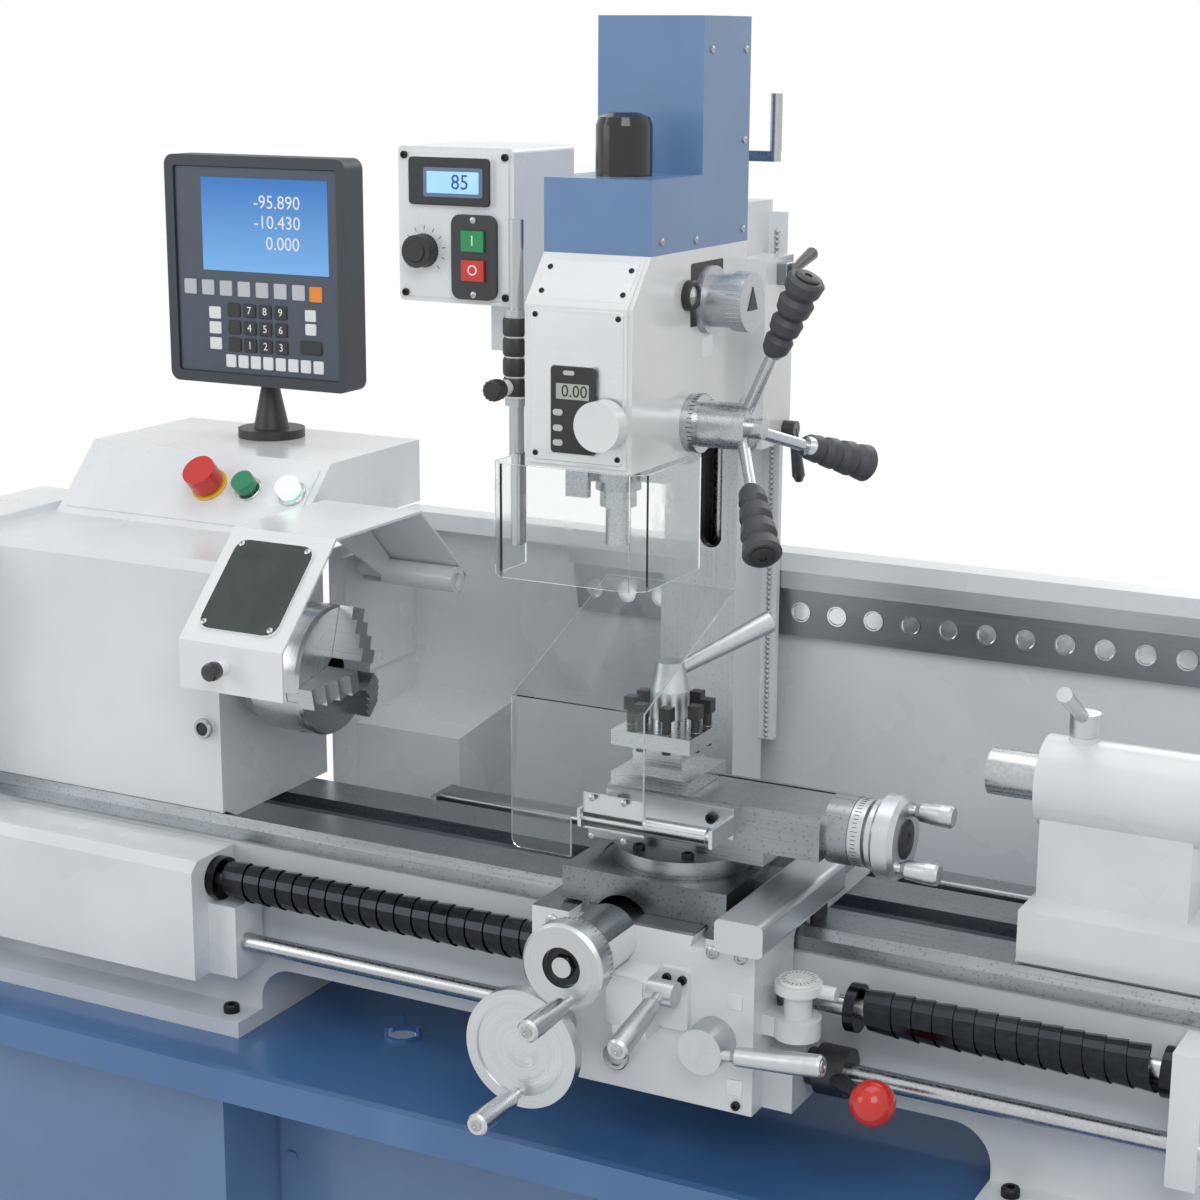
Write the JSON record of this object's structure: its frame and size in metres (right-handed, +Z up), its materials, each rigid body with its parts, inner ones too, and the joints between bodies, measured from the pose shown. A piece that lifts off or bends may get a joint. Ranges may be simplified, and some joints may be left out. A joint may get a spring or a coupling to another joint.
{
  "type": "combination lathe mill",
  "caption": "Bench lathe with a milling head on a column, on a sheet-metal stand with chip tray, splash guard, digital readout, guards, carriage and tailstock.",
  "frame": {"origin": "centre of the rectangle of the four anchor holes, on the floor under the stand", "axes": "+X along the bed from the headstock to the tailstock, +Y from the operator to the back, +Z up"},
  "size_m": [1.841, 0.7633, 1.866],
  "materials": {
    "blue_paint": "satin",
    "tray_paint": "satin",
    "cast_paint": "gloss",
    "sheet_paint": "gloss",
    "anodised": "brushed",
    "ground_iron": "ground",
    "steel": "brushed",
    "aluminium": "satin",
    "dark_plastic": "matte",
    "light_plastic": "satin",
    "green_plastic": "gloss",
    "red_plastic": "gloss",
    "white_plastic": "gloss",
    "clear_plastic": "clear"
  },
  "bodies": {
    "frame": {"stand": "blue_paint", "chip_tray": "tray_paint", "bed": "cast_paint", "headstock": "cast_paint", "gear_cover": "sheet_paint", "electrical_cabinet": "sheet_paint", "splash_guard": "sheet_paint", "led_lamp": "anodised", "column": "ground_iron", "feed_gearbox": "cast_paint", "control_box": "light_plastic", "dro_stand": "dark_plastic", "screw_covers": "steel"},
    "door": {"access_door": "blue_paint"},
    "display": {"dro_display": "dark_plastic"},
    "start_key": {"start_button": "green_plastic"},
    "stop_key": {"stop_button": "red_plastic"},
    "speed_dial": {"speed_knob": "dark_plastic"},
    "estop": {"emergency_stop": "red_plastic"},
    "green_push": {"green_button": "green_plastic"},
    "lamp_push": {"lamp_button": "white_plastic"},
    "head": {"mill_head": "cast_paint", "motor_cover": "blue_paint", "mill_motor": "cast_paint"},
    "quill_body": {"quill": "steel"},
    "cutter_spindle": {"mill_spindle": "steel"},
    "feed_spokes": {"feed_hub": "steel"},
    "fine_knob": {"fine_feed_knob": "aluminium"},
    "gear_knob": {"gear_selector": "aluminium"},
    "upper_clamp_lever": {"upper_clamp": "dark_plastic"},
    "lower_clamp_lever": {"lower_clamp": "dark_plastic"},
    "milling_guard": {"mill_guard": "clear_plastic"},
    "crank": {"column_crank": "steel"},
    "work_spindle": {"spindle": "steel", "chuck": "ground_iron"},
    "jaw_a": {"jaw_1": "steel"},
    "jaw_b": {"jaw_2": "steel"},
    "jaw_c": {"jaw_3": "steel"},
    "hood": {"chuck_guard": "sheet_paint"},
    "carriage": {"saddle": "cast_paint", "apron": "cast_paint"},
    "cross": {"cross_slide": "ground_iron"},
    "swivel": {"swivel_base": "ground_iron"},
    "compound": {"top_slide": "ground_iron"},
    "post": {"tool_post": "steel"},
    "post_lever": {"clamp_lever": "aluminium"},
    "shield": {"chip_guard": "clear_plastic"},
    "carriage_wheel": {"carriage_handwheel": "aluminium"},
    "cross_wheel": {"cross_handwheel": "aluminium"},
    "compound_wheel": {"top_handwheel": "aluminium"},
    "feed_arm": {"feed_lever": "aluminium"},
    "nut_arm": {"nut_lever": "aluminium"},
    "dial": {"thread_dial": "steel"},
    "lead": {"leadscrew": "steel"},
    "rod": {"control_rod": "steel"},
    "ball_lever": {"control_lever": "steel"},
    "tail": {"tailstock": "cast_paint"},
    "barrel": {"tailstock_barrel": "steel"},
    "tail_wheel": {"tailstock_wheel": "aluminium"},
    "tail_lever": {"tailstock_lever": "steel"}
  },
  "joints": [
    {"name": "door_hinge", "type": "hinge", "parent": "frame", "child": "door", "pos_m": [0.159, -0.1133, 0.33], "axis": [0, 0, 1], "range_deg": [0, 105]},
    {"name": "display_swivel", "type": "hinge", "parent": "frame", "child": "display", "pos_m": [-0.559, 0.284, 1.4], "axis": [0, 0, 1], "range_deg": [-60, 60]},
    {"name": "start_press", "type": "slide", "parent": "frame", "child": "start_key", "axis": [0, 1, 0], "range_m": [0, 0.003], "stiffness_N_per_m": 300, "springref_m": -0.002},
    {"name": "stop_press", "type": "slide", "parent": "frame", "child": "stop_key", "axis": [0, 1, 0], "range_m": [0, 0.003], "stiffness_N_per_m": 300, "springref_m": -0.002},
    {"name": "speed_turn", "type": "hinge", "parent": "frame", "child": "speed_dial", "pos_m": [-0.176, 0.06, 1.598], "axis": [0, 1, 0], "range_deg": [-135, 135]},
    {"name": "estop_press", "type": "slide", "parent": "frame", "child": "estop", "axis": [0, 0.7071, -0.7071], "range_m": [0, 0.005], "stiffness_N_per_m": 600, "springref_m": -0.003},
    {"name": "green_press", "type": "slide", "parent": "frame", "child": "green_push", "axis": [0, 0.7071, -0.7071], "range_m": [0, 0.004], "stiffness_N_per_m": 400, "springref_m": -0.003},
    {"name": "lamp_press", "type": "slide", "parent": "frame", "child": "lamp_push", "axis": [0, 0.7071, -0.7071], "range_m": [0, 0.004], "stiffness_N_per_m": 400, "springref_m": -0.003},
    {"name": "head_slide", "type": "slide", "parent": "frame", "child": "head", "axis": [0, 0, 1], "range_m": [-0.005, 0.085]},
    {"name": "crank_turn", "type": "hinge", "parent": "frame", "child": "crank", "pos_m": [0.118, 0.268, 1.7], "axis": [0, 0, 1], "range_deg": [-451, 7651]},
    {"name": "quill_slide", "type": "slide", "parent": "head", "child": "quill_body", "axis": [0, 0, -1], "range_m": [0, 0.042]},
    {"name": "feed_turn", "type": "hinge", "parent": "head", "child": "feed_spokes", "pos_m": [0.181, 0.052, 1.424], "axis": [1, 0, 0], "range_deg": [0, 151.3]},
    {"name": "cutter_turn", "type": "hinge", "parent": "quill_body", "child": "cutter_spindle", "pos_m": [0.116, 0, 1.3], "axis": [0, 0, 1], "continuous": true},
    {"name": "fine_feed_turn", "type": "hinge", "parent": "head", "child": "fine_knob", "pos_m": [0.154, -0.105, 1.442], "axis": [0, 1, 0], "continuous": true},
    {"name": "gear_turn", "type": "hinge", "parent": "head", "child": "gear_knob", "pos_m": [0.181, 0.088, 1.558], "axis": [1, 0, 0], "range_deg": [-60, 60]},
    {"name": "upper_clamp_turn", "type": "hinge", "parent": "head", "child": "upper_clamp_lever", "pos_m": [0.206, 0.24, 1.578], "axis": [1, 0, 0], "range_deg": [-40, 40]},
    {"name": "lower_clamp_turn", "type": "hinge", "parent": "head", "child": "lower_clamp_lever", "pos_m": [0.206, 0.258, 1.39], "axis": [1, 0, 0], "range_deg": [-30, 30]},
    {"name": "mill_guard_swing", "type": "hinge", "parent": "head", "child": "milling_guard", "pos_m": [0.021, -0.062, 1.5], "axis": [0, 0, 1], "range_deg": [-110, 0]},
    {"name": "spindle_turn", "type": "hinge", "parent": "frame", "child": "work_spindle", "pos_m": [-0.3, 0, 1.09], "axis": [1, 0, 0], "continuous": true},
    {"name": "jaw_1_slide", "type": "slide", "parent": "work_spindle", "child": "jaw_a", "axis": [0, 0.309, 0.9511], "range_m": [-0.006, 0.012]},
    {"name": "jaw_2_slide", "type": "slide", "parent": "work_spindle", "child": "jaw_b", "axis": [0, -0.9781, -0.2079], "range_m": [-0.006, 0.012]},
    {"name": "jaw_3_slide", "type": "slide", "parent": "work_spindle", "child": "jaw_c", "axis": [0, 0.6691, -0.7431], "range_m": [-0.006, 0.012]},
    {"name": "hood_hinge", "type": "hinge", "parent": "frame", "child": "hood", "pos_m": [-0.28, 0.196, 1.17], "axis": [-1, 0, 0], "range_deg": [0, 80]},
    {"name": "carriage_slide", "type": "slide", "parent": "frame", "child": "carriage", "axis": [1, 0, 0], "range_m": [-0.22, 0.15], "deforming": ["screw_covers"]},
    {"name": "carriage_wheel_turn", "type": "hinge", "parent": "carriage", "child": "carriage_wheel", "pos_m": [0.158, -0.28, 0.804], "axis": [0, 1, 0], "range_deg": [-3502, 2388]},
    {"name": "cross_slide_travel", "type": "slide", "parent": "carriage", "child": "cross", "axis": [0, 1, 0], "range_m": [-0.08, 0.08]},
    {"name": "cross_wheel_turn", "type": "hinge", "parent": "carriage", "child": "cross_wheel", "pos_m": [0.219, -0.3, 0.916], "axis": [0, 1, 0], "range_deg": [-7201, 7201]},
    {"name": "swivel_turn", "type": "hinge", "parent": "cross", "child": "swivel", "pos_m": [0.251, -0.097, 0.98], "axis": [0, 0, 1], "range_deg": [-45, 45]},
    {"name": "compound_slide", "type": "slide", "parent": "swivel", "child": "compound", "axis": [1, 0, 0], "range_m": [-0.045, 0.048]},
    {"name": "compound_wheel_turn", "type": "hinge", "parent": "compound", "child": "compound_wheel", "pos_m": [0.47, -0.097, 1.033], "axis": [1, 0, 0], "range_deg": [-4051, 4321]},
    {"name": "post_turn", "type": "hinge", "parent": "compound", "child": "post", "pos_m": [0.23, -0.097, 1.08], "axis": [0, 0, 1], "continuous": true},
    {"name": "post_lever_turn", "type": "hinge", "parent": "compound", "child": "post_lever", "pos_m": [0.23, -0.097, 1.16], "axis": [0, 0, 1], "range_deg": [-60, 40]},
    {"name": "shield_hinge", "type": "hinge", "parent": "compound", "child": "shield", "pos_m": [0.251, -0.192, 1.034], "axis": [1, 0, 0], "range_deg": [0, 4]},
    {"name": "feed_arm_turn", "type": "hinge", "parent": "carriage", "child": "feed_arm", "pos_m": [0.295, -0.243, 0.875], "axis": [1, 0, 0], "range_deg": [-15, 20]},
    {"name": "nut_arm_turn", "type": "hinge", "parent": "carriage", "child": "nut_arm", "pos_m": [0.344, -0.23, 0.822], "axis": [0, 1, 0], "range_deg": [0, 35]},
    {"name": "dial_turn", "type": "hinge", "parent": "carriage", "child": "dial", "pos_m": [0.422, -0.178, 0.89], "axis": [0, 0, 1], "continuous": true},
    {"name": "leadscrew_turn", "type": "hinge", "parent": "frame", "child": "lead", "pos_m": [0.2, -0.14, 0.855], "axis": [1, 0, 0], "continuous": true},
    {"name": "ball_lever_turn", "type": "hinge", "parent": "carriage", "child": "ball_lever", "pos_m": [0.451, -0.14, 0.779], "axis": [1, 0, 0], "range_deg": [-15, 15]},
    {"name": "rod_turn", "type": "hinge", "parent": "frame", "child": "rod", "pos_m": [0.2, -0.14, 0.779], "axis": [1, 0, 0], "range_deg": [-15, 15]},
    {"name": "tail_slide", "type": "slide", "parent": "frame", "child": "tail", "axis": [1, 0, 0], "range_m": [-0.04, 0.02]},
    {"name": "barrel_slide", "type": "slide", "parent": "tail", "child": "barrel", "axis": [-1, 0, 0], "range_m": [0, 0.05]},
    {"name": "tail_wheel_turn", "type": "hinge", "parent": "tail", "child": "tail_wheel", "pos_m": [0.83, 0, 1.09], "axis": [1, 0, 0], "range_deg": [0, 4501]},
    {"name": "tail_lever_turn", "type": "hinge", "parent": "tail", "child": "tail_lever", "pos_m": [0.66, 0, 1.15], "axis": [0, 0, 1], "range_deg": [-40, 40]}
  ],
  "couplings": [
    {"joint": "crank_turn", "follows": "head_slide", "rad_per_m": 1570.8},
    {"joint": "feed_turn", "follows": "quill_slide", "rad_per_m": 62.832},
    {"joint": "jaw_2_slide", "follows": "jaw_1_slide", "ratio": 1},
    {"joint": "jaw_3_slide", "follows": "jaw_1_slide", "ratio": 1},
    {"joint": "carriage_wheel_turn", "follows": "carriage_slide", "rad_per_m": 277.78},
    {"joint": "cross_wheel_turn", "follows": "cross_slide_travel", "rad_per_m": 1570.8},
    {"joint": "compound_wheel_turn", "follows": "compound_slide", "rad_per_m": 1570.8},
    {"joint": "leadscrew_turn", "follows": "spindle_turn", "ratio": 0.25},
    {"joint": "rod_turn", "follows": "ball_lever_turn", "ratio": 1},
    {"joint": "tail_wheel_turn", "follows": "barrel_slide", "rad_per_m": 1570.8}
  ]
}
